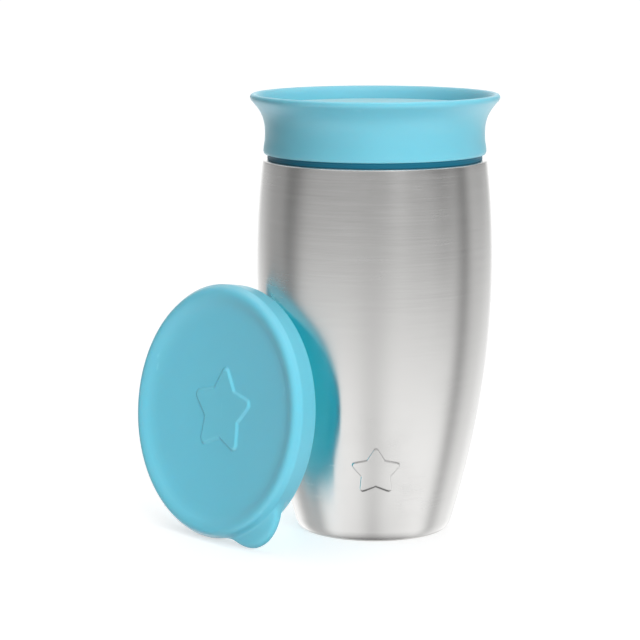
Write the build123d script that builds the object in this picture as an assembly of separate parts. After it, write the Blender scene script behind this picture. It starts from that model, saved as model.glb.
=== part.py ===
"""Insulated toddler cup with a screw-in drinking collar, a lift valve and a loose snap cover.

Millimetres, +Z up. The origin is the centre of the face that the cup stands on. The cup, the collar and
the valve share the Z axis. The cover stands on its edge and leans on the barrel, dished face outwards.
"""
from build123d import *
import math
import os

# ---- cup body -------------------------------------------------------------------------------------
BARREL_MAX_R = 40.2          # widest radius of the steel barrel
BARREL_MAX_Z = 92.0          # height of the widest place
BARREL_BOW = 604.0           # the side is an arc: radius falls by (height offset)^2 / BARREL_BOW
SHEET = 0.6                  # steel sheet
VACUUM_GAP = 3.0             # between the outer shell and the liner
MOUTH_Z = 127.3              # top of the steel
MOUTH_FLAT_R = 37.5          # outer edge of the flat on the mouth
SHOULDER_DROP = 0.8          # height of the rounded edge from the flat down to the barrel
LINER_NECK_R = 35.9          # outside of the liner's straight neck, and the weld line on the mouth
LINER_NECK_Z = 112.0         # the straight neck starts here
LINER_FLOOR_Z = 6.0          # underside of the liner's floor
LINER_CORNER_R = 7.0         # corner between the liner's floor and side
FOOT_INNER_R = 24.0          # inside of the ring that the shell stands on
FOOT_OUTER_R = 25.4          # outside of that ring, where the foot's rounding starts
FOOT_ROUND_Z = 1.9           # the foot's rounding meets the barrel here
PLATE_TOP_Z = 2.0            # top of the welded bottom plate
PAD_R = 23.2                 # non-slip pad under the bottom plate
SEAL_HOLE_R = 0.8            # evacuation hole in the bottom plate
SEAL_BEAD_R = 2.2
SEAL_BEAD_DROP = 0.5
PAD_POCKET_R = 3.2           # pocket in the pad around the bead
GETTER_R = 5.0
GETTER_HEIGHT = 1.6
GETTER_X = 12.0

# ---- thread between liner and collar ----------------------------------------------------------------
THREAD_PITCH = 5.0
THREAD_TURNS = 1.25
THREAD_ROOT_WIDTH = 2.0
THREAD_CREST_WIDTH = 1.1
THREAD_DEPTH = 1.2
THREAD_BITE = 0.3            # how far a ridge's foot runs into its wall
LINER_THREAD_Z = 117.4       # middle of the liner ridge at its start
COLLAR_THREAD_Z = 114.9      # middle of the collar ridge at its start: half a pitch lower

# ---- neck gasket and drinking collar --------------------------------------------------------------------
GASKET_OUTER_R = 36.5
GASKET_INNER_R = 34.05
COLLAR_BOTTOM_Z = 129.3
LIP_TOP_Z = 149.5
LIP_MAX_R = 42.3
PLUG_R = 33.7                # outside of the plug that screws into the liner
PLUG_WALL = 1.8
PLUG_BOTTOM_Z = 111.6
COLLAR_BORE_R = 34.9         # inside of the collar above the plug
SEAT_Z = 144.0               # ledge that the valve rests on
SEAT_OUTER_R = 37.9
BRIDGE_TOP_Z = 138.6
BRIDGE_DEPTH = 2.6
SPOKE_COUNT = 4
SPOKE_WIDTH = 3.0
HUB_R = 6.0
HUB_HOLE_R = 2.6

# ---- valve ------------------------------------------------------------------------------------------------
VALVE_R = 37.6
VALVE_THICKNESS = 1.2
VALVE_DISH = 0.9             # how far the valve's middle lies under its edge
STEM_R = 2.3
VALVE_TRAVEL = 1.2
BULB_R = 3.6
BULB_HEIGHT = 2.4
PULL_TAB_WIDTH = 6.0
PULL_TAB_THICKNESS = 1.8
PULL_TAB_LENGTH = 7.0

# ---- cover, in its own frame: the foot of the skirt on z = 0, the dished face up ---------------------------
COVER_R = 43.15
COVER_HEIGHT = 8.2
COVER_RIM_R = 40.7           # radius of the rim's highest circle
DISH_EDGE_R = 36.3
DISH_EDGE_Z = 6.3
DISH_MIDDLE_Z = 3.6
COVER_WALL = 1.5
SKIRT_INNER_R = 42.3
SNAP_BEAD_R = 41.9
TAB_ANGLE = -56.0            # degrees from the cover's own +X; -90 is straight down as it stands
TAB_TIP_R = 49.4
TAB_ROUND_R = 14.0
TAB_BLEND_R = 11.0
TAB_LOW_Z = 2.2                # height of the tab's underside over the skirt's foot
TAB_THICKNESS = 2.8
TAB_EDGE_R = 0.9
STAR_R = 15.5
STAR_INNER_R = 8.6
STAR_TIP_ROUND = 2.4
STAR_NOTCH_ROUND = 2.0
STAR_TOP_Z = 4.7             # the star's flat top
STAR_ROOT_Z = 3.0            # the star's solid starts inside the dish's wall

# ---- how the cover stands ----------------------------------------------------------------------------------
COVER_FACING = 48.3          # degrees that its face turns from -Y towards -X
COVER_LEAN = 8.3             # degrees that it leans back against the cup
COVER_X = -48.8
COVER_Y = -14.0


def barrel_radius(z):
    """Outside radius of the steel barrel at a height."""
    return BARREL_MAX_R - (z - BARREL_MAX_Z) ** 2 / BARREL_BOW


def turned(*edges):
    """Solid of revolution about Z of the closed outline in the XZ plane."""
    return revolve(make_face(Wire(edges)), Axis.Z, 360)


def flat(radius, z):
    """Point of an outline at a radius and a height."""
    return Vector(radius, 0, z)


def chain(*points):
    """Straight edges through the points, in order."""
    return [Line(flat(*a), flat(*b)) for a, b in zip(points, points[1:])]


def ridge(wall_radius, crest_radius, start_z):
    """Helical thread ridge whose foot runs a little way into the wall."""
    inward = 1 if crest_radius > wall_radius else -1
    foot_radius = wall_radius - inward * THREAD_BITE
    path = Pos(0, 0, start_z) * Helix(THREAD_PITCH, THREAD_PITCH * THREAD_TURNS, wall_radius)
    foot = THREAD_ROOT_WIDTH / 2
    crest = THREAD_CREST_WIDTH / 2
    outline = [
        (foot_radius, start_z - foot),
        (crest_radius, start_z - crest),
        (crest_radius, start_z + crest),
        (foot_radius, start_z + foot),
        (foot_radius, start_z - foot),
    ]
    section = make_face(Wire(chain(*outline)))
    return sweep(section, path=path, is_frenet=True)


def outer_shell():
    """Bowed steel sheet from the foot ring to the rolled shoulder at the mouth."""
    foot = barrel_radius(FOOT_ROUND_Z)
    shoulder_z = MOUTH_Z - SHOULDER_DROP
    shoulder = barrel_radius(shoulder_z) - 0.1
    middle_z = (FOOT_ROUND_Z + shoulder_z) / 2
    middle = barrel_radius(middle_z)
    inner_mouth = MOUTH_Z - SHEET
    return turned(
        Line(flat(FOOT_INNER_R, 0), flat(FOOT_OUTER_R, 0)),
        ThreePointArc(flat(FOOT_OUTER_R, 0), flat(foot - 0.35, 0.75), flat(foot, FOOT_ROUND_Z)),
        ThreePointArc(flat(foot, FOOT_ROUND_Z), flat(middle, middle_z), flat(shoulder, shoulder_z)),
        ThreePointArc(
            flat(shoulder, shoulder_z),
            flat(shoulder - 0.15, MOUTH_Z - 0.25),
            flat(MOUTH_FLAT_R, MOUTH_Z),
        ),
        *chain(
            (MOUTH_FLAT_R, MOUTH_Z),
            (LINER_NECK_R, MOUTH_Z),
            (LINER_NECK_R, inner_mouth),
            (MOUTH_FLAT_R - 0.3, inner_mouth),
            (shoulder - SHEET, shoulder_z),
        ),
        ThreePointArc(
            flat(shoulder - SHEET, shoulder_z),
            flat(middle - SHEET, middle_z),
            flat(foot - SHEET, FOOT_ROUND_Z + 0.2),
        ),
        *chain(
            (foot - SHEET, FOOT_ROUND_Z + 0.2),
            (FOOT_OUTER_R - 0.3, SHEET),
            (FOOT_INNER_R, SHEET),
            (FOOT_INNER_R, 0),
        ),
    )


def inner_liner():
    """Deep-drawn liner: straight threaded neck, bowed side, round corner and flat floor."""
    corner_z = LINER_FLOOR_Z + LINER_CORNER_R + 0.5
    middle_z = (corner_z + LINER_NECK_Z) / 2
    inset = SHEET + VACUUM_GAP
    side = barrel_radius(corner_z) - inset
    middle = barrel_radius(middle_z) - inset
    floor_r = side - LINER_CORNER_R
    floor_top = LINER_FLOOR_Z + SHEET
    bulge = LINER_CORNER_R * math.cos(math.radians(45))
    corner = flat(floor_r + bulge, corner_z - bulge)
    inner_corner = flat(floor_r + bulge - SHEET * 0.7, corner_z - bulge + SHEET * 0.7)
    shell = turned(
        Line(flat(LINER_NECK_R, MOUTH_Z), flat(LINER_NECK_R, LINER_NECK_Z)),
        ThreePointArc(flat(LINER_NECK_R, LINER_NECK_Z), flat(middle, middle_z), flat(side, corner_z)),
        ThreePointArc(flat(side, corner_z), corner, flat(floor_r, LINER_FLOOR_Z)),
        *chain((floor_r, LINER_FLOOR_Z), (0, LINER_FLOOR_Z), (0, floor_top), (floor_r, floor_top)),
        ThreePointArc(flat(floor_r, floor_top), inner_corner, flat(side - SHEET, corner_z)),
        ThreePointArc(
            flat(side - SHEET, corner_z),
            flat(middle - SHEET, middle_z),
            flat(LINER_NECK_R - SHEET, LINER_NECK_Z),
        ),
        *chain(
            (LINER_NECK_R - SHEET, LINER_NECK_Z),
            (LINER_NECK_R - SHEET, MOUTH_Z),
            (LINER_NECK_R, MOUTH_Z),
        ),
    )
    wall = LINER_NECK_R - SHEET
    return shell + ridge(wall, wall - THREAD_DEPTH, LINER_THREAD_Z)


def base_plate():
    """Pressed bottom plate welded inside the shell's foot ring, with its evacuation hole."""
    under = PLATE_TOP_Z - SHEET
    return turned(
        *chain(
            (FOOT_INNER_R, 0),
            (FOOT_INNER_R, PLATE_TOP_Z),
            (SEAL_HOLE_R, PLATE_TOP_Z),
            (SEAL_HOLE_R, under),
            (FOOT_INNER_R - SHEET, under),
            (FOOT_INNER_R - SHEET, 0),
            (FOOT_INNER_R, 0),
        )
    )


def vacuum_seal_bead():
    """Solder-glass bead that closes the evacuation hole from below."""
    under = PLATE_TOP_Z - SHEET
    return turned(
        *chain(
            (0, PLATE_TOP_Z),
            (SEAL_HOLE_R, PLATE_TOP_Z),
            (SEAL_HOLE_R, under),
            (SEAL_BEAD_R, under),
            (SEAL_BEAD_R - 0.5, under - SEAL_BEAD_DROP),
            (0, under - SEAL_BEAD_DROP),
            (0, PLATE_TOP_Z),
        )
    )


def base_pad():
    """Flat non-slip disc under the bottom plate; the middle of the face that the cup stands on."""
    top = PLATE_TOP_Z - SHEET
    pocket = top - SEAL_BEAD_DROP - 0.2
    return turned(
        *chain(
            (0, 0),
            (PAD_R, 0),
            (PAD_R, top),
            (PAD_POCKET_R, top),
            (PAD_POCKET_R, pocket),
            (0, pocket),
            (0, 0),
        )
    )


def getter_capsule():
    """Getter button on the bottom plate, inside the vacuum."""
    button = Cylinder(GETTER_R, GETTER_HEIGHT, align=(Align.CENTER, Align.CENTER, Align.MIN))
    button = fillet(button.edges().group_by(Axis.Z)[-1], 0.5)
    return Pos(GETTER_X, 0, PLATE_TOP_Z) * button


def neck_gasket():
    """Soft ring squeezed between the collar's shoulder and the steel mouth."""
    return turned(
        *chain(
            (GASKET_INNER_R, MOUTH_Z),
            (GASKET_OUTER_R - 0.3, MOUTH_Z),
            (GASKET_OUTER_R, MOUTH_Z + 0.4),
            (GASKET_OUTER_R, COLLAR_BOTTOM_Z - 0.3),
            (GASKET_OUTER_R - 0.2, COLLAR_BOTTOM_Z),
            (GASKET_INNER_R, COLLAR_BOTTOM_Z),
            (GASKET_INNER_R, MOUTH_Z),
        )
    )


def collar_shell():
    """Waisted collar with its flared lip, valve seat and threaded plug."""
    waist = Spline(
        flat(37.5, COLLAR_BOTTOM_Z),
        flat(37.9, 130.4),
        flat(37.35, 134.0),
        flat(37.45, 138.8),
        flat(38.9, 143.4),
        flat(41.2, 146.5),
        flat(LIP_MAX_R, 148.3),
        flat(41.1, LIP_TOP_Z),
    )
    throat = Spline(
        flat(41.1, LIP_TOP_Z),
        flat(39.9, 148.6),
        flat(38.5, 146.3),
        flat(SEAT_OUTER_R, SEAT_Z),
    )
    plug_bore = PLUG_R - PLUG_WALL
    return turned(
        waist,
        throat,
        *chain(
            (SEAT_OUTER_R, SEAT_Z),
            (COLLAR_BORE_R, SEAT_Z),
            (COLLAR_BORE_R, COLLAR_BOTTOM_Z + 3.0),
            (plug_bore, COLLAR_BOTTOM_Z),
            (plug_bore, PLUG_BOTTOM_Z),
            (PLUG_R - 0.5, PLUG_BOTTOM_Z),
            (PLUG_R, PLUG_BOTTOM_Z + 0.5),
            (PLUG_R, COLLAR_BOTTOM_Z),
            (37.5, COLLAR_BOTTOM_Z),
        ),
    )


def drinking_collar():
    """Collar with its spoked bridge, hub and external thread, in one moulding."""
    collar = collar_shell() + ridge(PLUG_R, PLUG_R + THREAD_DEPTH, COLLAR_THREAD_Z)
    bridge_z = BRIDGE_TOP_Z - BRIDGE_DEPTH / 2
    reach = COLLAR_BORE_R + 0.8
    for index in range(SPOKE_COUNT):
        spoke = Pos(reach / 2, 0, bridge_z) * Box(reach, SPOKE_WIDTH, BRIDGE_DEPTH)
        collar += Rot(0, 0, index * 360 / SPOKE_COUNT) * spoke
    collar += Pos(0, 0, bridge_z) * Cylinder(HUB_R, BRIDGE_DEPTH)
    return collar - Pos(0, 0, bridge_z) * Cylinder(HUB_HOLE_R, BRIDGE_DEPTH * 2)


def valve_disc():
    """Silicone valve: dished disc, stem through the hub, retaining bulb and pull tab."""
    top = SEAT_Z + VALVE_THICKNESS
    bulb_top = BRIDGE_TOP_Z - BRIDGE_DEPTH - VALVE_TRAVEL - 0.3
    bulb_bottom = bulb_top - BULB_HEIGHT
    disc = turned(
        ThreePointArc(
            flat(0, top - VALVE_DISH),
            flat(VALVE_R / 2, top - VALVE_DISH * 0.75),
            flat(VALVE_R - 0.4, top),
        ),
        *chain((VALVE_R - 0.4, top), (VALVE_R, top - 0.4), (VALVE_R, SEAT_Z), (34.5, SEAT_Z)),
        Line(flat(34.5, SEAT_Z), flat(6.0, SEAT_Z - VALVE_DISH)),
        *chain(
            (6.0, SEAT_Z - VALVE_DISH),
            (STEM_R, SEAT_Z - VALVE_DISH - 2.2),
            (STEM_R, bulb_top),
            (BULB_R, bulb_top),
            (BULB_R - 1.2, bulb_bottom),
            (0, bulb_bottom),
            (0, top - VALVE_DISH),
        ),
    )
    hanging = (Align.CENTER, Align.CENTER, Align.MAX)
    tab = Box(PULL_TAB_WIDTH, PULL_TAB_THICKNESS, PULL_TAB_LENGTH, align=hanging)
    tab = fillet(tab.edges().filter_by(Axis.Y).group_by(Axis.Z)[0], PULL_TAB_WIDTH / 2 - 0.2)
    return disc + Pos(0, 0, bulb_bottom + 0.6) * tab


def star_outline(tip_radius, notch_radius):
    """Five-pointed star with rounded points and notches, one point up."""
    corners = []
    for index in range(10):
        radius = notch_radius if index % 2 else tip_radius
        angle = math.radians(90 + index * 36)
        corners.append((radius * math.cos(angle), radius * math.sin(angle)))
    star = make_face(Polyline(*corners, close=True))
    tips = star.vertices().sort_by(lambda vertex: -Vector(*vertex).length)[:5]
    star = fillet(tips, STAR_TIP_ROUND)
    notches = star.vertices().sort_by(lambda vertex: Vector(*vertex).length)[:5]
    return fillet(notches, STAR_NOTCH_ROUND)


def tab_outline():
    """Half-lens lobe along +X that leaves the skirt's circle and returns to it on tangent arcs."""
    lobe_x = TAB_TIP_R - TAB_ROUND_R
    reach = COVER_R + TAB_BLEND_R
    join = TAB_ROUND_R + TAB_BLEND_R
    half = math.acos((reach**2 + lobe_x**2 - join**2) / (2 * reach * lobe_x))
    lobe = Vector(lobe_x, 0)
    blend = Vector(reach * math.cos(half), reach * math.sin(half))
    root = blend.normalized() * COVER_R
    meet = lobe + (blend - lobe).normalized() * TAB_ROUND_R
    bow = blend + ((root - blend).normalized() + (meet - blend).normalized()).normalized() * TAB_BLEND_R

    def mirrored(point):
        return Vector(point.X, -point.Y)

    inside = Vector(lobe_x, 0)
    edges = [
        ThreePointArc(root, bow, meet),
        ThreePointArc(meet, Vector(TAB_TIP_R, 0), mirrored(meet)),
        ThreePointArc(mirrored(meet), mirrored(bow), mirrored(root)),
        Line(mirrored(root), inside),
        Line(inside, root),
    ]
    return make_face(Wire(edges))


def cover_tab():
    """Lobed pull tab that runs out of the skirt."""
    plate = extrude(tab_outline(), TAB_THICKNESS)
    arcs = plate.edges().filter_by(GeomType.CIRCLE).group_by(Axis.Z)
    plate = fillet(arcs[-1], TAB_EDGE_R)
    plate -= Cylinder(SKIRT_INNER_R + 0.3, TAB_THICKNESS * 4)
    return Pos(0, 0, TAB_LOW_Z) * Rot(0, 0, TAB_ANGLE) * plate


def cover():
    """Dished snap cover with rolled rim, skirt, snap bead, pull tab and raised star, lying face up."""
    groove_z = COVER_HEIGHT - COVER_WALL
    dish_half_z = (DISH_EDGE_Z + DISH_MIDDLE_Z * 3) / 4
    body = turned(
        *chain((SKIRT_INNER_R + 0.2, 0), (COVER_R - 0.3, 0), (COVER_R, 0.4), (COVER_R, 4.0)),
        ThreePointArc(flat(COVER_R, 4.0), flat(COVER_R - 0.75, 6.9), flat(COVER_RIM_R, COVER_HEIGHT)),
        ThreePointArc(
            flat(COVER_RIM_R, COVER_HEIGHT),
            flat((COVER_RIM_R + DISH_EDGE_R) / 2, COVER_HEIGHT - 0.4),
            flat(DISH_EDGE_R, DISH_EDGE_Z),
        ),
        ThreePointArc(
            flat(DISH_EDGE_R, DISH_EDGE_Z),
            flat(DISH_EDGE_R / 2, dish_half_z),
            flat(0, DISH_MIDDLE_Z),
        ),
        *chain(
            (0, DISH_MIDDLE_Z),
            (0, DISH_MIDDLE_Z - COVER_WALL),
            (DISH_EDGE_R / 2, dish_half_z - COVER_WALL),
            (DISH_EDGE_R - 0.5, DISH_EDGE_Z - COVER_WALL - 0.25),
            (38.2, groove_z - 0.6),
            (40.2, groove_z),
            (41.2, groove_z - 0.3),
            (SKIRT_INNER_R, 4.6),
            (SKIRT_INNER_R, 2.0),
            (SNAP_BEAD_R, 1.2),
            (SKIRT_INNER_R + 0.2, 0),
        ),
    )
    star = extrude(star_outline(STAR_R, STAR_INNER_R), STAR_TOP_Z - STAR_ROOT_Z)
    return body + cover_tab() + Pos(0, 0, STAR_ROOT_Z) * star


def standing(solid):
    """Put a piece made in the cover's frame where the cover stands on its edge."""
    facing = math.radians(COVER_FACING)
    lean = math.radians(COVER_LEAN)
    face = Vector(
        -math.sin(facing) * math.cos(lean),
        -math.cos(facing) * math.cos(lean),
        math.sin(lean),
    )
    across = Vector(0, 0, 1).cross(face).normalized()
    centre_z = COVER_R * math.cos(lean)
    place = Plane(origin=(COVER_X, COVER_Y, centre_z), x_dir=across, z_dir=face)
    return place.location * solid


NODES = {
    "outer_shell": outer_shell,
    "inner_liner": inner_liner,
    "base_plate": base_plate,
    "vacuum_seal_bead": vacuum_seal_bead,
    "base_pad": base_pad,
    "getter_capsule": getter_capsule,
    "neck_gasket": neck_gasket,
    "drinking_collar": drinking_collar,
    "valve_disc": valve_disc,
    "cover": lambda: standing(cover()),
}

os.makedirs("parts", exist_ok=True)
for name, make in NODES.items():
    export_step(make(), f"parts/{name}.step")
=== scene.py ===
"""Looks of an insulated toddler cup with a drinking collar and a loose snap cover.

Outlines are in millimetres, as (radius, height) about an axis, and are turned into meshes in metres.
"""

import logging
import math
from dataclasses import dataclass, field
from enum import Enum
from typing import Callable, Sequence

import bmesh
import bpy
from mathutils import Matrix, Vector


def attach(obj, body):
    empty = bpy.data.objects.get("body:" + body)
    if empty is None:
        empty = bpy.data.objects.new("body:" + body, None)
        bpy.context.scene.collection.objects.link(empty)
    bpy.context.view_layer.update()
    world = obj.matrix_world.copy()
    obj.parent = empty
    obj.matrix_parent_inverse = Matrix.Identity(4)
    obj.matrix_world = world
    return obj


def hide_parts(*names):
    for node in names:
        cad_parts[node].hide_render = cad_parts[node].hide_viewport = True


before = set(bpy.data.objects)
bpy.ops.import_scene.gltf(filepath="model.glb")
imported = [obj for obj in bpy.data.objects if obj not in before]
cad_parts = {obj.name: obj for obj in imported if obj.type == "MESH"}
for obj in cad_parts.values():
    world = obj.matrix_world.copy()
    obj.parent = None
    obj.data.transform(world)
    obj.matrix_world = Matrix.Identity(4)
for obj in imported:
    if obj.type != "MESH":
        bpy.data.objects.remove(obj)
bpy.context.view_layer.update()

log = logging.getLogger("toddler_cup")

MM = 0.001
FULL_TURN = 2 * math.pi

Point = tuple[float, float]


# ---- outlines ------------------------------------------------------------------------------------------


def curve_through(points: Sequence[Point], steps: int = 5) -> list[Point]:
    """Smooth curve through the points.

    Args:
        points: Places that the curve passes, in order.
        steps: Stretches between one place and the next.

    Returns:
        The places and the points between them.
    """
    ends = [points[0], *points, points[-1]]
    made: list[Point] = []
    for before, start, end, after in zip(ends, ends[1:], ends[2:], ends[3:]):
        for step in range(steps):
            t = step / steps
            weights = (
                -0.5 * t + t * t - 0.5 * t**3,
                1 - 2.5 * t * t + 1.5 * t**3,
                0.5 * t + 2 * t * t - 1.5 * t**3,
                -0.5 * t * t + 0.5 * t**3,
            )
            made.append(
                tuple(
                    sum(w * p[axis] for w, p in zip(weights, (before, start, end, after)))
                    for axis in (0, 1)
                )
            )
    made.append(points[-1])
    return made


def rounded(corners: Sequence[tuple[float, float, float]], steps: int = 6) -> list[Point]:
    """Straight outline with its corners rounded.

    Args:
        corners: Radius, height and rounding of each corner; a rounding of 0 leaves it as it is.
        steps: Stretches in each rounding.

    Returns:
        The outline's points, in order.
    """
    made: list[Point] = []
    for index, (x, y, rounding) in enumerate(corners):
        if rounding <= 0 or index in (0, len(corners) - 1):
            made.append((x, y))
            continue
        here = Vector((x, y))
        back = (Vector(corners[index - 1][:2]) - here).normalized()
        ahead = (Vector(corners[index + 1][:2]) - here).normalized()
        half = back.angle(ahead) / 2
        reach = rounding / math.tan(half)
        centre = here + (back + ahead).normalized() * (rounding / math.sin(half))
        first = here + back * reach - centre
        last = here + ahead * reach - centre
        for step in range(steps + 1):
            made.append(tuple(centre + first.slerp(last, step / steps) * rounding))
    return made


def bowed(radius_at: Callable[[float], float], low: float, high: float, steps: int) -> list[Point]:
    """Points up a side whose radius is given by a function of the height."""
    heights = (low + (high - low) * step / steps for step in range(steps + 1))
    return [(radius_at(z), z) for z in heights]


def smooth(low: float, high: float, value: float) -> float:
    """Smooth step from 0 at low to 1 at high."""
    t = min(max((value - low) / (high - low), 0.0), 1.0)
    return t * t * (3 - 2 * t)


@dataclass(frozen=True)
class Star:
    """Rounded five-pointed star that is raised from a surface, in millimetres."""

    tip: float
    notch_share: float = 0.56
    rounding: float = 1.0
    bevel: float = 0.45
    height: float = 0.5

    def distance(self, x: float, y: float) -> float:
        """Distance from the star's edge, below 0 inside it."""
        wedge = FULL_TURN / 10
        angle = abs((math.atan2(x, y) + wedge) % (2 * wedge) - wedge)
        radius = math.hypot(x, y)
        here = Vector((radius * math.cos(angle), radius * math.sin(angle)))
        tip = Vector((self.tip - self.rounding * 1.6, 0.0))
        notch = Vector((math.cos(wedge), math.sin(wedge))) * (tip.x * self.notch_share)
        side = notch - tip
        along = min(max((here - tip).dot(side) / side.length_squared, 0.0), 1.0)
        gap = (here - tip - side * along).length
        turn = side.x * (here.y - tip.y) - side.y * (here.x - tip.x)
        return (gap if turn < 0 else -gap) - self.rounding

    def rise(self, x: float, y: float) -> float:
        """Height of the relief at a place."""
        if math.hypot(x, y) > self.tip + self.bevel:
            return 0.0
        return self.height * (1 - smooth(-self.bevel, self.bevel, self.distance(x, y)))


# ---- meshes --------------------------------------------------------------------------------------------


def even_turn(count: int) -> list[float]:
    """Angles that divide a full turn evenly."""
    return [FULL_TURN * index / count for index in range(count)]


def finer_turn(count: int, middle: float, half_width: float, extra: int) -> list[float]:
    """Angles round a full turn, closer together about one direction.

    Args:
        count: Angles outside the finer stretch.
        middle: Direction of the finer stretch.
        half_width: Half of the finer stretch.
        extra: Angles in the finer stretch.

    Returns:
        The angles in order.
    """
    start, end = middle - half_width, middle + half_width
    fine = [start + (end - start) * index / extra for index in range(extra)]
    rest = FULL_TURN - 2 * half_width
    return fine + [end + rest * index / count for index in range(count)]


def finished_object(name: str, mesh: bmesh.types.BMesh, place: Matrix | None = None) -> bpy.types.Object:
    """Turn a bmesh into a smooth-shaded object whose place is in its mesh.

    Args:
        name: Name of the piece.
        mesh: The mesh, in metres; it is freed.
        place: Where the mesh goes; none leaves it where it is.

    Returns:
        The new object, linked to the scene.
    """
    if place is not None:
        mesh.transform(place)
    bmesh.ops.recalc_face_normals(mesh, faces=mesh.faces)
    data = bpy.data.meshes.new(name)
    mesh.to_mesh(data)
    mesh.free()
    data.shade_smooth()
    data.set_sharp_from_angle(angle=math.radians(50))
    made = bpy.data.objects.new(name, data)
    bpy.context.scene.collection.objects.link(made)
    return made


def lathe(
    outline: Sequence[Point],
    angles: Sequence[float],
    mesh: bmesh.types.BMesh | None = None,
    shape: Callable[[float, int, Point], Point] | None = None,
) -> bmesh.types.BMesh:
    """Turn an outline about the Z axis into a closed mesh.

    Args:
        outline: Points in order, in millimetres. The axis closes it if both ends are on it.
        angles: Directions of the ribs.
        mesh: Mesh to add to; none starts a new one.
        shape: Gives a point's own radius and height from its angle and its index.

    Returns:
        The mesh, in metres.
    """
    mesh = mesh or bmesh.new()
    ribs: list[list[bmesh.types.BMVert]] = []
    poles: dict[int, bmesh.types.BMVert] = {}
    for angle in angles:
        rib = []
        for index, point in enumerate(outline):
            radius, height = shape(angle, index, point) if shape else point
            if point[0] == 0 and index in poles:
                rib.append(poles[index])
                continue
            place = (radius * math.cos(angle) * MM, radius * math.sin(angle) * MM, height * MM)
            vertex = mesh.verts.new(place)
            if point[0] == 0:
                poles[index] = vertex
            rib.append(vertex)
        ribs.append(rib)
    count = len(outline)
    open_ends = outline[0][0] == 0 and outline[-1][0] == 0
    for rib, following in zip(ribs, ribs[1:] + ribs[:1]):
        for index in range(count - 1 if open_ends else count):
            after = (index + 1) % count
            corners = [rib[index], following[index], following[after], rib[after]]
            mesh.faces.new(list(dict.fromkeys(corners)))
    return mesh


def helix_ridge(
    mesh: bmesh.types.BMesh, wall: float, crest: float, middle: float, pitch: float, turns: float
) -> None:
    """Add a thread ridge with run-out ends, as its own closed tube whose foot lies in the wall.

    Args:
        mesh: Mesh to add to.
        wall: Radius of the wall it stands on, in millimetres.
        crest: Radius of its crest.
        middle: Height of its middle at its start.
        pitch: Rise in one turn.
        turns: How far it runs.
    """
    steps_per_turn, run_out, sunk, end_share = 72, 0.08, 0.3, 0.25
    section = ((0.0, -1.0), (1.0, -0.55), (1.0, 0.55), (0.0, 1.0))
    steps = int(steps_per_turn * turns)
    foot = wall - math.copysign(sunk, crest - wall)
    rings = []
    for step in range(steps + 1):
        share = step / steps
        angle = FULL_TURN * turns * share
        fade = smooth(0.0, run_out, share) * (1 - smooth(1 - run_out, 1.0, share))
        reach = (crest - foot) * (end_share + (1 - end_share) * fade)
        z = middle + pitch * turns * share
        ring = []
        for rise, offset in section:
            radius = foot + reach * rise
            place = (radius * math.cos(angle), radius * math.sin(angle), z + offset)
            ring.append(mesh.verts.new(Vector(place) * MM))
        rings.append(ring)
    for ring, following in zip(rings, rings[1:]):
        for index in range(4):
            after = (index + 1) % 4
            mesh.faces.new((ring[index], ring[after], following[after], following[index]))
    mesh.faces.new(rings[0][::-1])
    mesh.faces.new(rings[-1])


def bridged(mesh: bmesh.types.BMesh, sections: Sequence[Sequence[Vector]]) -> None:
    """Add a closed bar between two sections that have the same points, in millimetres."""
    start, end = ([mesh.verts.new(point * MM) for point in section] for section in sections)
    for index in range(len(start)):
        after = (index + 1) % len(start)
        mesh.faces.new((start[index], start[after], end[after], end[index]))
    mesh.faces.new(start[::-1])
    mesh.faces.new(end)


def round_bar(
    mesh: bmesh.types.BMesh, start: float, end: float, width: float, low: float, high: float, turn: float
) -> None:
    """Add a bar with rounded long edges that lies along a radius.

    Args:
        mesh: Mesh to add to.
        start: Radius where the bar starts, in millimetres.
        end: Radius where it ends.
        width: Its width.
        low: Its underside.
        high: Its top.
        turn: Direction of the radius.
    """
    edge = 0.5
    section = rounded(
        [
            (0, low, 0),
            (width / 2, low, edge),
            (width / 2, high, edge),
            (-width / 2, high, edge),
            (-width / 2, low, edge),
            (0, low, 0),
        ],
        4,
    )[:-1]
    turned = Matrix.Rotation(turn, 3, "Z")
    bridged(mesh, [[turned @ Vector((radius, y, z)) for y, z in section] for radius in (start, end)])


# ---- shader helpers ------------------------------------------------------------------------------------


class Graph:
    """Short way to fill a node tree."""

    def __init__(self, tree: bpy.types.NodeTree) -> None:
        """Start on an empty tree."""
        self.tree = tree
        tree.nodes.clear()

    def add(self, kind: str, settings: dict | None = None, **inputs: object) -> bpy.types.Node:
        """Add a node.

        Args:
            kind: Node type without its ShaderNode prefix.
            settings: Attributes of the node.
            **inputs: Socket values or sockets to link, by name with underscores, or by index as _0, _1.

        Returns:
            The node.
        """
        node = self.tree.nodes.new("ShaderNode" + kind)
        for name, value in (settings or {}).items():
            setattr(node, name, value)
        for name, value in inputs.items():
            key: int | str = int(name[1:]) if name[1:].isdigit() else name.replace("_", " ")
            if isinstance(value, bpy.types.NodeSocket):
                self.tree.links.new(value, node.inputs[key])
            else:
                node.inputs[key].default_value = value
        return node

    def math(self, operation: str, *values: object) -> bpy.types.NodeSocket:
        """Result of a maths node."""
        sockets = {f"_{index}": value for index, value in enumerate(values)}
        return self.add("Math", {"operation": operation}, **sockets).outputs[0]

    def mixed(self, share: object, first: object, second: object) -> bpy.types.NodeSocket:
        """Mix of two colours."""
        return self.add("Mix", {"data_type": "RGBA"}, _0=share, _6=first, _7=second).outputs[2]

    def blend(self, share: object, first: object, second: object) -> bpy.types.NodeSocket:
        """Mix of two numbers."""
        return self.add("Mix", {"data_type": "FLOAT"}, _0=share, _2=first, _3=second).outputs[0]

    def eased(self, value: bpy.types.NodeSocket, low: float, high: float) -> bpy.types.NodeSocket:
        """Smooth step from 0 at low to 1 at high."""
        node = self.add("MapRange", {"interpolation_type": "SMOOTHSTEP"}, _0=value, _1=low, _2=high)
        return node.outputs[0]


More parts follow.
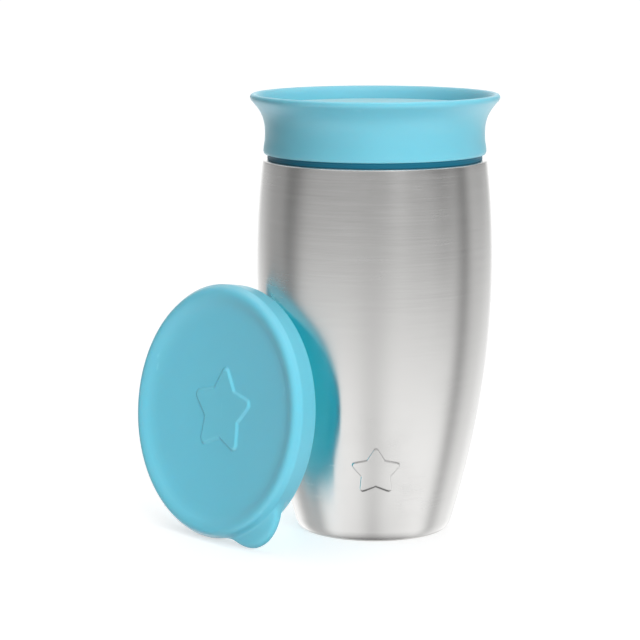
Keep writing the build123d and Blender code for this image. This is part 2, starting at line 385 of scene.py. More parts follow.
def new_group(
    name: str, inputs: dict[str, float], outputs: dict[str, str]
) -> tuple[bpy.types.NodeTree, Graph]:
    """Start a shader node group.

    Args:
        name: Name of the group.
        inputs: Name and default of each number that goes in.
        outputs: Name and socket type of each result.

    Returns:
        The group and the graph that fills it.
    """
    group = bpy.data.node_groups.new(name, "ShaderNodeTree")
    for label, default in inputs.items():
        socket = group.interface.new_socket(label, in_out="INPUT", socket_type="NodeSocketFloat")
        socket.default_value = default
    for label, kind in outputs.items():
        group.interface.new_socket(label, in_out="OUTPUT", socket_type=kind)
    return group, Graph(group)


def brushing_group() -> bpy.types.NodeTree:
    """Fine lines round the Z axis, long and thin, some of them in broader bands."""
    group, graph = new_group(
        "lathe_brushing",
        {"Length": 22.0, "Fineness": 2600.0, "Contrast": 0.5},
        {"Lines": "NodeSocketFloat"},
    )
    entry = graph.tree.nodes.new("NodeGroupInput")
    leave = graph.tree.nodes.new("NodeGroupOutput")
    place = graph.add("TexCoord").outputs["Object"]
    length, fineness = entry.outputs["Length"], entry.outputs["Fineness"]
    stretch = graph.add("CombineXYZ", None, X=length, Y=length, Z=fineness)
    scaled = graph.add("VectorMath", {"operation": "MULTIPLY"}, _0=place, _1=stretch.outputs[0])
    lines = graph.add("TexNoise", None, Vector=scaled.outputs[0], Scale=1.0, Detail=4.0, Roughness=0.65)
    coarse = graph.add("VectorMath", {"operation": "MULTIPLY"}, _0=scaled.outputs[0], _1=(2.3, 2.3, 0.19))
    bands = graph.add("TexNoise", None, Vector=coarse.outputs[0], Scale=1.0, Detail=3.0, Roughness=0.5)
    band_share = 0.38
    thin = graph.math("MULTIPLY", lines.outputs[0], 1 - band_share)
    both = graph.math("ADD", thin, graph.math("MULTIPLY", bands.outputs[0], band_share))
    spread = graph.math("MULTIPLY", graph.math("SUBTRACT", both, 0.5), entry.outputs["Contrast"])
    graph.tree.links.new(graph.math("ADD", spread, 0.5), leave.inputs["Lines"])
    return group


def grain_group() -> bpy.types.NodeTree:
    """Fine mould grain with slow flow marks."""
    group, graph = new_group(
        "mould_grain",
        {"Grain": 2400.0, "Flow": 30.0, "Flow Share": 0.5},
        {"Height": "NodeSocketFloat", "Variation": "NodeSocketFloat"},
    )
    entry = graph.tree.nodes.new("NodeGroupInput")
    leave = graph.tree.nodes.new("NodeGroupOutput")
    place = graph.add("TexCoord").outputs["Object"]
    grain = graph.add("TexNoise", None, Vector=place, Scale=entry.outputs["Grain"], Detail=3.0, Roughness=0.6)
    flow = graph.add("TexNoise", None, Vector=place, Scale=entry.outputs["Flow"], Detail=4.0, Distortion=0.6)
    lift = graph.math("MULTIPLY", flow.outputs[0], entry.outputs["Flow Share"])
    graph.tree.links.new(graph.math("ADD", grain.outputs[0], lift), leave.inputs["Height"])
    graph.tree.links.new(flow.outputs[0], leave.inputs["Variation"])
    return group


def wear_and_groove_shade_group() -> bpy.types.NodeTree:
    """Masks of rubbed edges, of painted shade that darkens the grooves beside raised edges, and of faint
    handling smudges.
    """
    group, graph = new_group(
        "rubbed_edges_and_painted_groove_shade",
        {"Sharpness": 9.0, "Smudge Size": 60.0},
        {"Edges": "NodeSocketFloat", "Painted Groove Shade": "NodeSocketFloat", "Smudges": "NodeSocketFloat"},
    )
    entry = graph.tree.nodes.new("NodeGroupInput")
    leave = graph.tree.nodes.new("NodeGroupOutput")
    place = graph.add("TexCoord").outputs["Object"]
    bend = graph.add("NewGeometry").outputs["Pointiness"]
    flat, groove, groove_gain = 0.5, 0.485, 1.6
    clamped = {"operation": "MULTIPLY", "use_clamp": True}
    over = graph.math("MULTIPLY", graph.math("SUBTRACT", bend, flat), entry.outputs["Sharpness"])
    under = graph.math("MULTIPLY", graph.math("SUBTRACT", groove, bend), entry.outputs["Sharpness"])
    # painted shade mask: strongest where the surface bends inwards beside raised edges
    painted_groove_shade = graph.add("Math", clamped, _0=under, _1=groove_gain)
    graph.tree.links.new(painted_groove_shade.outputs[0], leave.inputs["Painted Groove Shade"])
    patchy = graph.add("TexNoise", None, Vector=place, Scale=420.0, Detail=3.0)
    edges = graph.add("Math", clamped, _0=over, _1=patchy.outputs[0])
    graph.tree.links.new(edges.outputs[0], leave.inputs["Edges"])
    size = entry.outputs["Smudge Size"]
    smudge = graph.add("TexNoise", None, Vector=place, Scale=size, Detail=5.0, Roughness=0.6)
    clear = graph.eased(smudge.outputs[0], 0.45, 0.75)
    graph.tree.links.new(clear, leave.inputs["Smudges"])
    return group


class Effects:
    """The shared effects, each built once."""

    def __init__(self) -> None:
        """Build the groups."""
        self.brushing = brushing_group()
        self.grain = grain_group()
        self.wear_and_groove_shade = wear_and_groove_shade_group()

    @staticmethod
    def place(graph: Graph, group: bpy.types.NodeTree, **values: float) -> bpy.types.Node:
        """Put a group in a material with its own values.

        Args:
            graph: The material's graph.
            group: One of the shared effects.
            **values: Its numbers, by name with underscores.

        Returns:
            The group's node.
        """
        node = graph.tree.nodes.new("ShaderNodeGroup")
        node.node_tree = group
        for name, value in values.items():
            node.inputs[name.replace("_", " ")].default_value = value
        return node


def new_material(name: str) -> tuple[bpy.types.Material, Graph]:
    """Start an empty material."""
    material = bpy.data.materials.new(name)
    material.use_nodes = True
    return material, Graph(material.node_tree)


Colour = tuple[float, float, float, float]


@dataclass(frozen=True)
class TurnedSteel:
    """Stainless steel with lines round the axis."""

    name: str
    colour: Colour = (0.71, 0.705, 0.695, 1.0)
    shade: Colour = (0.60, 0.595, 0.585, 1.0)
    # grey of the painted shade in the grooves beside raised edges
    painted_groove_shade: Colour = (0.30, 0.30, 0.30, 1.0)
    roughness: tuple[float, float] = (0.22, 0.27)
    stretch: float = 0.93
    fineness: float = 2600.0
    relief: float = 0.16

    def material(self, effects: Effects) -> bpy.types.Material:
        """Build the material."""
        material, graph = new_material(self.name)
        brushing = effects.place(graph, effects.brushing, Fineness=self.fineness, Contrast=1.0)
        wear_and_groove_shade = effects.place(graph, effects.wear_and_groove_shade, Sharpness=6.0, Smudge_Size=45.0)
        tint = graph.mixed(brushing.outputs["Lines"], self.shade, self.colour)
        # painted shade: the grooves beside raised edges are darkened towards a grey
        tint = graph.mixed(wear_and_groove_shade.outputs["Painted Groove Shade"], tint, self.painted_groove_shade)
        lines = brushing.outputs["Lines"]
        low, high = self.roughness
        grey = graph.add("MapRange", None, _0=lines, _1=0.3, _2=0.7, _3=low, _4=high)
        rough = graph.math("ADD", grey.outputs[0], graph.math("MULTIPLY", wear_and_groove_shade.outputs["Smudges"], 0.03))
        bump = graph.add("Bump", None, Strength=self.relief, Distance=0.00012, Height=lines)
        tangent = graph.add("Tangent", {"direction_type": "RADIAL", "axis": "Z"})
        shader = graph.add(
            "BsdfPrincipled",
            None,
            Base_Color=tint,
            Roughness=rough,
            Normal=bump.outputs[0],
            Tangent=tangent.outputs[0],
            Metallic=1.0,
            Anisotropic=self.stretch,
            Anisotropic_Rotation=0.25,
        )
        graph.add("OutputMaterial", None, Surface=shader.outputs[0])
        return material


@dataclass(frozen=True)
class MouldedPlastic:
    """Coloured moulded plastic or silicone with fine grain."""

    name: str
    colour: Colour
    shade: Colour
    worn: Colour
    roughness: tuple[float, float] = (0.30, 0.40)
    grain: float = 2400.0
    relief: float = 0.12
    ior: float = 1.49
    sheen: float = 0.0
    coat: float = 0.0
    glow: float = 0.0
    glow_depth: float = 0.0015

    def material(self, effects: Effects) -> bpy.types.Material:
        """Build the material."""
        material, graph = new_material(self.name)
        grain = effects.place(graph, effects.grain, Grain=self.grain, Flow=26.0, Flow_Share=0.4)
        wear_and_groove_shade = effects.place(graph, effects.wear_and_groove_shade, Sharpness=7.0, Smudge_Size=70.0)
        tint = graph.mixed(grain.outputs["Variation"], self.shade, self.colour)
        tint = graph.mixed(graph.math("MULTIPLY", wear_and_groove_shade.outputs["Edges"], 0.5), tint, self.worn)
        low, high = self.roughness
        flow = grain.outputs["Variation"]
        grey = graph.add("MapRange", None, _0=flow, _1=0.3, _2=0.7, _3=low, _4=high)
        rough = graph.math("ADD", grey.outputs[0], graph.math("MULTIPLY", wear_and_groove_shade.outputs["Smudges"], 0.05))
        bump = graph.add("Bump", None, Strength=self.relief, Distance=0.00006, Height=grain.outputs["Height"])
        shader = graph.add(
            "BsdfPrincipled",
            None,
            Base_Color=tint,
            Roughness=rough,
            Normal=bump.outputs[0],
            IOR=self.ior,
            Sheen_Weight=self.sheen,
            Subsurface_Weight=self.glow,
            Subsurface_Radius=(0.15, 1.0, 1.2),
            Subsurface_Scale=self.glow_depth,
            Coat_Weight=self.coat,
            Coat_Roughness=0.34,
        )
        graph.add("OutputMaterial", None, Surface=shader.outputs[0])
        return material


class Slot(Enum):
    """The material slots of the cup."""

    BRUSHED_STEEL = "brushed_steel"
    LINER_STEEL = "liner_steel"
    SEAL_GLASS = "seal_glass"
    PAD_RUBBER = "pad_rubber"
    GETTER_METAL = "getter_metal"
    GASKET_SILICONE = "gasket_silicone"
    COLLAR_PLASTIC = "collar_plastic"
    VALVE_SILICONE = "valve_silicone"
    COVER_PLASTIC = "cover_plastic"


FINISHES: dict[Slot, TurnedSteel | MouldedPlastic] = {
    Slot.BRUSHED_STEEL: TurnedSteel("brushed_barrel_steel"),
    Slot.LINER_STEEL: TurnedSteel(
        "polished_liner_steel",
        roughness=(0.14, 0.22),
        stretch=0.4,
        fineness=1500.0,
        relief=0.06,
    ),
    Slot.SEAL_GLASS: MouldedPlastic(
        "solder_glass",
        colour=(0.20, 0.24, 0.25, 1.0),
        shade=(0.12, 0.15, 0.16, 1.0),
        worn=(0.40, 0.44, 0.45, 1.0),
        roughness=(0.12, 0.2),
    ),
    Slot.PAD_RUBBER: MouldedPlastic(
        "foot_pad_rubber",
        colour=(0.020, 0.021, 0.023, 1.0),
        shade=(0.012, 0.012, 0.014, 1.0),
        worn=(0.06, 0.06, 0.065, 1.0),
        roughness=(0.62, 0.78),
        grain=1300.0,
        relief=0.4,
    ),
    Slot.GETTER_METAL: MouldedPlastic(
        "sintered_getter",
        colour=(0.16, 0.16, 0.165, 1.0),
        shade=(0.09, 0.09, 0.095, 1.0),
        worn=(0.3, 0.3, 0.3, 1.0),
        roughness=(0.55, 0.75),
        grain=1800.0,
        relief=0.5,
    ),
    Slot.GASKET_SILICONE: MouldedPlastic(
        "teal_gasket_silicone",
        colour=(0.008, 0.16, 0.25, 1.0),
        shade=(0.006, 0.13, 0.21, 1.0),
        worn=(0.02, 0.22, 0.32, 1.0),
        roughness=(0.38, 0.48),
        ior=1.41,
    ),
    Slot.COLLAR_PLASTIC: MouldedPlastic(
        "sky_blue_collar_plastic",
        colour=(0.19, 0.60, 0.735, 1.0),
        shade=(0.18, 0.575, 0.71, 1.0),
        worn=(0.27, 0.66, 0.78, 1.0),
        roughness=(0.34, 0.42),
        coat=0.35,
        glow=0.3,
    ),
    Slot.VALVE_SILICONE: MouldedPlastic(
        "sky_blue_valve_silicone",
        colour=(0.35, 0.70, 0.78, 1.0),
        shade=(0.33, 0.67, 0.75, 1.0),
        worn=(0.42, 0.74, 0.82, 1.0),
        roughness=(0.42, 0.52),
        ior=1.41,
        sheen=0.1,
        glow=0.3,
    ),
    Slot.COVER_PLASTIC: MouldedPlastic(
        "sky_blue_cover_plastic",
        colour=(0.15, 0.54, 0.67, 1.0),
        shade=(0.14, 0.52, 0.65, 1.0),
        worn=(0.25, 0.66, 0.78, 1.0),
        roughness=(0.34, 0.42),
        coat=0.35,
        glow=0.3,
    ),
}


class Wardrobe:
    """Hands out the finishes, each made once."""

    def __init__(self) -> None:
        """Start with the shared effects and no materials."""
        self.effects = Effects()
        self.made: dict[Slot, bpy.types.Material] = {}
        self.worn: dict[Slot, list[bpy.types.Object]] = {slot: [] for slot in Slot}

    def dress(self, piece: bpy.types.Object, slot: Slot) -> None:
        """Give a piece the finish of a slot.

        Args:
            piece: The object, new or from the frame.
            slot: The record's slot.
        """
        if slot not in self.made:
            self.made[slot] = FINISHES[slot].material(self.effects)
        material = self.made[slot]
        self.worn[slot].append(piece)
        if not piece.material_slots:
            piece.data.materials.append(material)
        for holder in piece.material_slots:
            holder.material = material

    def fit(self, piece: bpy.types.Object, body: str, slot: Slot, *nodes: str) -> None:
        """Dress a new piece, let it ride on its body and let it stand for its nodes."""
        self.dress(piece, slot)
        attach(piece, body)
        if nodes:
            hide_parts(*nodes)
        log.info("%s rides on %s, %d vertices", piece.name, body, len(piece.data.vertices))


# ---- the cup body --------------------------------------------------------------------------------------


@dataclass
class CupBody:
    """Double-walled steel body with its foot and what is sealed inside it."""

    widest: float = 40.2
    widest_height: float = 92.0
    bow: float = 604.0
    sheet: float = 0.6
    mouth: float = 127.3
    mouth_flat: float = 37.5
    shoulder_drop: float = 0.8
    neck: float = 35.9
    foot_inner: float = 24.0
    foot_outer: float = 25.4
    foot_height: float = 1.9
    pad_radius: float = 23.2
    pad_top: float = 1.4
    star_height: float = 25.8
    star: Star = field(default_factory=lambda: Star(tip=8.8, rounding=0.9, bevel=0.28, height=0.32))

    def radius(self, z: float) -> float:
        """Outside radius of the barrel at a height."""
        return self.widest - (z - self.widest_height) ** 2 / self.bow

    def shell_outline(self) -> tuple[list[Point], int]:
        """Closed outline of the bowed sheet, and how many of its points are on the outside."""
        shoulder_z = self.mouth - self.shoulder_drop
        foot = self.radius(self.foot_height)
        outside = rounded(
            [
                (self.foot_inner, 0.0, 0),
                (self.foot_outer + 0.3, 0.0, 1.1),
                (foot, self.foot_height, 0),
            ],
            6,
        )[:-1]
        fine_low, fine_high = 15.5, 36.5
        side = bowed(self.radius, self.foot_height, fine_low, 8)[:-1]
        side += bowed(self.radius, fine_low, fine_high, 90)[:-1]
        side += bowed(self.radius, fine_high, shoulder_z, 48)
        shoulder = curve_through(
            [
                (self.radius(shoulder_z), shoulder_z),
                (self.radius(shoulder_z) - 0.14, self.mouth - 0.32),
                (self.mouth_flat + 0.22, self.mouth - 0.05),
                (self.mouth_flat, self.mouth),
            ],
            5,
        )[1:]
        inner_low = self.foot_height + 0.2
        inside = bowed(lambda z: self.radius(z) - self.sheet, inner_low, shoulder_z, 40)[::-1]
        skin = [*outside, *side, *shoulder]
        outline = [
            *skin,
            (self.neck, self.mouth),
            (self.neck, self.mouth - self.sheet),
            (self.mouth_flat - 0.3, self.mouth - self.sheet),
            *inside,
            (self.foot_outer - 0.3, self.sheet),
            (self.foot_inner, self.sheet),
        ]
        return outline, len(skin)

    def shell(self) -> bpy.types.Object:
        """Bowed shell with the raised star low on its front."""
        front, star_half_width = -math.pi / 2, 0.34
        outline, skin_points = self.shell_outline()

        def embossed(angle: float, index: int, point: Point) -> Point:
            """Push the star out of the front."""
            radius, z = point
            if index >= skin_points:
                return point
            across = (angle - front + math.pi) % FULL_TURN - math.pi
            return radius + self.star.rise(across * radius, z - self.star_height), z

        angles = finer_turn(168, front, star_half_width, 120)
        return finished_object("steel_shell", lathe(outline, angles, shape=embossed))

    def pad(self) -> bpy.types.Object:
        """Non-slip pad with concentric ribs in the foot."""
        groove = ((0.5, 0.0), (0.3, 0.25), (-0.3, 0.25), (-0.5, 0.0))
        ribs = [(radius + across, height) for radius in (20.5, 18.0, 15.5, 13.0) for across, height in groove]
        button_radius, button_low = 3.2, 0.7
        outline = [
            (0.0, 0.0),
            *ribs[::-1],
            *rounded([(22.0, 0, 0), (self.pad_radius, 0, 0.35), (self.pad_radius, self.pad_top, 0)], 5),
            (button_radius, self.pad_top),
            (button_radius, button_low),
            (0.0, button_low),
        ]
        return finished_object("foot_pad", lathe(outline, even_turn(160)))

    def build(self, wardrobe: Wardrobe) -> None:
        """Make and dress the body's pieces."""
        wardrobe.fit(self.shell(), "cup", Slot.BRUSHED_STEEL, "outer_shell")
        wardrobe.fit(self.pad(), "cup", Slot.PAD_RUBBER, "base_pad")
        for node, slot in (
            ("inner_liner", Slot.LINER_STEEL),
            ("base_plate", Slot.LINER_STEEL),
            ("vacuum_seal_bead", Slot.SEAL_GLASS),
            ("getter_capsule", Slot.GETTER_METAL),
        ):
            wardrobe.dress(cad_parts[node], slot)
            log.info("%s keeps its frame mesh", node)


@dataclass
class NeckGasket:
    """Soft ring between collar and steel, with a pinched lip."""

    inner: float = 34.05
    outer: float = 36.5
    low: float = 127.3
    high: float = 129.3

    def build(self, wardrobe: Wardrobe) -> None:
        """Make and dress the ring."""
        middle = (self.low + self.high) / 2
        outline = rounded(
            [
                (self.inner, self.low, 0),
                (self.outer, self.low, 0.35),
                (self.outer, middle - 0.25, 0),
                (self.outer - 0.12, middle, 0.1),
                (self.outer, middle + 0.25, 0),
                (self.outer, self.high, 0.35),
                (self.inner, self.high, 0),
            ],
            5,
        )
        ring = finished_object("neck_ring", lathe(outline, even_turn(256)))
        wardrobe.fit(ring, "neck_seal", Slot.GASKET_SILICONE, "neck_gasket")


@dataclass
class DrinkingCollar:
    """Waisted collar with a flared lip, a threaded plug and a spoked bridge for the valve."""

    bottom: float = 129.3
    plug: float = 33.7
    plug_bore: float = 31.9
    plug_bottom: float = 111.6
    bore: float = 34.9
    seat: float = 144.0
    bridge_low: float = 136.0
    bridge_high: float = 138.6
    hub: float = 6.0
    hub_hole: float = 2.6
    spokes: int = 4
    spoke_width: float = 3.0
    thread_start: float = 114.9
    thread_pitch: float = 5.0
    thread_turns: float = 1.25
    thread_depth: float = 1.2

    def outline(self) -> list[Point]:
        """Closed outline of the collar and its plug."""
        outside = curve_through(
            [
                (37.86, 130.25),
                (37.72, 131.7),
                (37.38, 134.0),
                (37.3, 136.8),
                (37.52, 139.4),
                (38.15, 141.8),
                (39.15, 143.85),
                (40.4, 145.6),
                (41.55, 146.95),
                (42.18, 147.9),
                (42.24, 148.75),
                (41.82, 149.3),
                (41.1, 149.47),
                (40.3, 149.12),
                (39.35, 147.95),
                (38.6, 146.4),
                (38.05, 144.9),
            ],
            5,
        )
        foot = rounded([(36.6, self.bottom, 0), (37.55, self.bottom, 0.3), (37.86, 130.25, 0)], 5)
        within = rounded(
            [
                (38.05, 144.9, 0),
                (37.9, self.seat, 0.15),
                (self.bore, self.seat, 0.4),
                (self.bore, self.bottom + 3.0, 0.8),
                (self.plug_bore, self.bottom, 0.8),
                (self.plug_bore, self.plug_bottom, 0.5),
                (self.plug, self.plug_bottom, 0.6),
                (self.plug, self.bottom, 0.3),
                (36.6, self.bottom, 0),
            ],
            5,
        )
        return [*foot[:-1], *outside, *within[1:-1]]

    def bridge(self) -> bpy.types.Object:
        """Hub and spokes under the valve, with the thread on the plug."""
        mesh = bmesh.new()
        edge, overlap = 0.5, 0.8
        middle = (self.bridge_low + self.bridge_high) / 2
        hub = rounded(
            [
                (self.hub_hole, middle, 0),
                (self.hub_hole, self.bridge_low, edge),
                (self.hub, self.bridge_low, edge),
                (self.hub, self.bridge_high, edge),
                (self.hub_hole, self.bridge_high, edge),
                (self.hub_hole, middle, 0),
            ],
            5,
        )[:-1]
        lathe(hub, even_turn(96), mesh)
        start, end = self.hub - overlap, self.bore + overlap
        for turn in even_turn(self.spokes):
            round_bar(mesh, start, end, self.spoke_width, self.bridge_low, self.bridge_high, turn)
        crest = self.plug + self.thread_depth
        helix_ridge(mesh, self.plug, crest, self.thread_start, self.thread_pitch, self.thread_turns)
        return finished_object("collar_bridge_and_thread", mesh)

    def build(self, wardrobe: Wardrobe) -> None:
        """Make and dress the collar."""
        shell = finished_object("collar_shell", lathe(self.outline(), even_turn(288)))
        wardrobe.fit(shell, "collar", Slot.COLLAR_PLASTIC, "drinking_collar")
        wardrobe.fit(self.bridge(), "collar", Slot.COLLAR_PLASTIC, "drinking_collar")


@dataclass
class Valve:
    """Dished silicone disc with its stem, retaining bulb and pull tab."""

    radius: float = 37.6
    seat: float = 144.0
    thickness: float = 1.2
    dish: float = 0.9
    stem: float = 2.3
    bulb: float = 3.6
    bulb_top: float = 134.5
    bulb_bottom: float = 132.1
    dish_radius: float = 35.0
    tab_half_width: float = 3.0
    tab_half_thickness: float = 0.9
    tab_top: float = 132.7
    tab_bottom: float = 125.7

    def add_tab(self, mesh: bmesh.types.BMesh) -> None:
        """Add the flat pull tab with its round end under the bulb."""
        half, rounding = self.tab_half_width, self.tab_half_width - 0.4
        tab = rounded(
            [
                (0, self.tab_top, 0),
                (half, self.tab_top, 0),
                (half, self.tab_bottom, rounding),
                (-half, self.tab_bottom, rounding),
                (-half, self.tab_top, 0),
                (0, self.tab_top, 0),
            ],
            8,
        )[:-1]
        faces = (-self.tab_half_thickness, self.tab_half_thickness)
        bridged(mesh, [[Vector((x, y, z)) for x, z in tab] for y in faces])

    def build(self, wardrobe: Wardrobe) -> None:
        """Make and dress the valve."""
        top = self.seat + self.thickness
        face = [
            (radius, top - self.dish * math.cos(math.pi / 2 * radius / self.dish_radius) ** 1.4)
            for radius in (*(4.0 * step for step in range(8)), 31.0, 33.5)
        ]
        under = rounded(
            [
                (self.dish_radius, top, 0),
                (self.radius, top, 0.4),
                (self.radius, self.seat, 0.2),
                (34.4, self.seat, 0),
                (6.0, self.seat - self.dish, 1.5),
                (self.stem, self.seat - self.dish - 2.2, 1.0),
                (self.stem, self.bulb_top, 0.3),
                (self.bulb, self.bulb_top, 0.4),
                (self.bulb - 1.2, self.bulb_bottom, 0.7),
                (0.0, self.bulb_bottom, 0),
            ],
            6,
        )
        mesh = lathe([*face, *under], even_turn(224))
        self.add_tab(mesh)
        disc = finished_object("lift_valve", mesh)
        wardrobe.fit(disc, "valve", Slot.VALVE_SILICONE, "valve_disc")


@dataclass
class SnapCover:
    """Dished round cover with a rolled rim, a skirt and a lobed pull tab, leaning on the barrel."""

    radius: float = 42.95
    edge: float = 43.15  # radius of the frame's own edge, which sets how high the cover stands
    dish_end: float = 33.0
    dish_middle: float = 3.6
    dish_bow: float = 488.0
    wall: float = 1.4
    skirt_inner: float = 42.3
    tab_angle: float = -56.0
    tab_tip: float = 49.15
    tab_round: float = 14.0
    tab_blend: float = 11.0
    facing: float = 48.3
    lean: float = 8.3
    centre: Point = (-48.8, -14.0)
    star: Star = field(default_factory=lambda: Star(tip=15.6, rounding=1.8, bevel=0.45, height=0.75))

    def place(self) -> Matrix:
        """Transform from the cover's own frame to where it leans on the barrel."""
        facing, lean = math.radians(self.facing), math.radians(self.lean)
        level = Vector((-math.sin(facing), -math.cos(facing), 0))
        face = level * math.cos(lean) + Vector((0, 0, math.sin(lean)))
        across = Vector((0, 0, 1)).cross(face).normalized()
        up = face.cross(across)
        turn = Matrix((across, up, face)).transposed().to_4x4()
        centre = Vector((*self.centre, self.edge * math.cos(lean))) * MM
        return Matrix.Translation(centre) @ turn

    def tab_reach(self, angle: float) -> float:
        """How far the tab stands out of the skirt's circle in a direction."""
        lobe = self.tab_tip - self.tab_round
        reach = self.radius + self.tab_blend
        join = self.tab_round + self.tab_blend
        half = math.acos((reach**2 + lobe**2 - join**2) / (2 * reach * lobe))
        off = abs((angle - math.radians(self.tab_angle) + math.pi) % FULL_TURN - math.pi)
        if off >= half:
            return 0.0
        centre = Vector((reach * math.cos(half), reach * math.sin(half)))
        meet = Vector((lobe, 0)) + (centre - Vector((lobe, 0))) * (self.tab_round / join)
        if off <= math.atan2(meet.y, meet.x):
            outer = lobe * math.cos(off) + math.sqrt(self.tab_round**2 - (lobe * math.sin(off)) ** 2)
        else:
            gap = half - off
            outer = reach * math.cos(gap) - math.sqrt(self.tab_blend**2 - (reach * math.sin(gap)) ** 2)
        return max(outer - self.radius, 0.0)

    def dish_height(self, radius: float) -> float:
        """Height of the dish at a radius."""
        return self.dish_middle + radius**2 / self.dish_bow

    def outline(self) -> tuple[list[Point], dict[int, float]]:
        """Half outline of the cover from the dish's middle round to the middle of its underside.

        Returns:
            The points, and the share of the tab's reach that each point of the skirt's outside follows.
        """
        radii = [0.0, *(0.4 * step for step in range(1, 44)), *range(18, 33)]
        dish = [(float(r), self.dish_height(r)) for r in radii]
        rim = curve_through(
            [
                (self.dish_end, self.dish_height(self.dish_end)),
                (34.4, 6.13),
                (35.7, 6.5),
                (36.9, 6.98),
                (38.0, 7.5),
                (39.1, 7.92),
                (40.1, 8.12),
                (41.05, 7.95),
                (41.85, 7.38),
                (42.45, 6.5),
            ],
            5,
        )
        # Share of the tab's reach, height, and how far the skirt's own outside lies in from its radius.
        skirt = (
            (0.0, 5.8, 0.0),
            (0.04, 5.6, 0.0),
            (0.12, 5.45, 0.0),
            (0.24, 5.3, 0.0),
            (0.38, 5.15, 0.0),
            (0.54, 4.98, 0.0),
            (0.70, 4.78, 0.0),
            (0.84, 4.5, 0.0),
            (0.94, 4.1, 0.0),
            (0.99, 3.6, 0.0),
            (1.0, 3.1, 0.0),
            (0.98, 2.7, 0.0),
            (0.92, 2.42, 0.0),
            (0.80, 2.28, 0.0),
            (0.50, 2.22, 0.0),
            (0.20, 2.18, 0.0),
            (0.0, 2.1, 0.0),
            (0.0, 0.4, 0.03),
            (0.0, 0.12, 0.14),
            (0.0, 0.0, 0.3),
        )
        under = rounded(
            [
                (42.5, 0.0, 0),
                (41.9, 1.15, 0.4),
                (self.skirt_inner, 2.0, 0.4),
                (self.skirt_inner, 4.6, 1.0),
                (41.2, 6.4, 0.5),
                (39.9, 6.6, 0.5),
                (37.9, 6.0, 0.8),
                (35.4, 4.75, 0.8),
                (18.0, self.dish_height(18.0) - self.wall, 0),
                (0.0, self.dish_middle - self.wall, 0),
            ],
            5,
        )
        points = [*dish, *rim]
        shares: dict[int, float] = {}
        for share, height, inset in skirt:
            shares[len(points)] = share
            points.append((self.radius - inset, height))
        return [*points, *under], shares

    def build(self, wardrobe: Wardrobe) -> None:
        """Make and dress the cover."""
        points, shares = self.outline()

        def formed(angle: float, index: int, point: Point) -> Point:
            """Raise the star and draw the tab out of the skirt."""
            radius, height = point
            if index in shares:
                return radius + self.tab_reach(angle) * shares[index], height
            if radius < self.star.tip + 2 and height >= self.dish_middle:
                x, y = radius * math.cos(angle), radius * math.sin(angle)
                return radius, height + self.star.rise(x, y)
            return point

        mesh = lathe(points, even_turn(360), shape=formed)
        cover = finished_object("snap_cover", mesh, self.place())
        wardrobe.fit(cover, "cover", Slot.COVER_PLASTIC, "cover")


# ---- studio --------------------------------------------------------------------------------------------


@dataclass(frozen=True)
class Card:
    """Upright strip of the light tent that is darker or brighter than what is round it.

    The bearing is in degrees from -Y, the cup's front, and grows towards +X. The strip fades in between
    from_height and to_height, which are sines of the elevation.
    """

    bearing: float
    half_width: float
    change: float
    from_height: float = -1.0
    to_height: float = -0.9

    def applied(
        self,
        graph: Graph,
        light: bpy.types.NodeSocket,
        turn: bpy.types.NodeSocket,
        height: bpy.types.NodeSocket,
    ) -> bpy.types.NodeSocket:
        """Change the light where the card stands.

        Args:
            graph: The world's graph.
            light: Brightness so far.
            turn: Bearing of the direction, in degrees.
            height: Sine of its elevation.

        Returns:
            Brightness with the card.
        """
        off = graph.math("DIVIDE", graph.math("SUBTRACT", turn, self.bearing), self.half_width)
        strip = graph.math("EXPONENT", graph.math("MULTIPLY", graph.math("MULTIPLY", off, off), -1.0))
        share = graph.math("MULTIPLY", strip, graph.eased(height, self.from_height, self.to_height))
        change = graph.math("MULTIPLY", share, self.change)
        return graph.math("MULTIPLY", light, graph.math("ADD", change, 1.0))


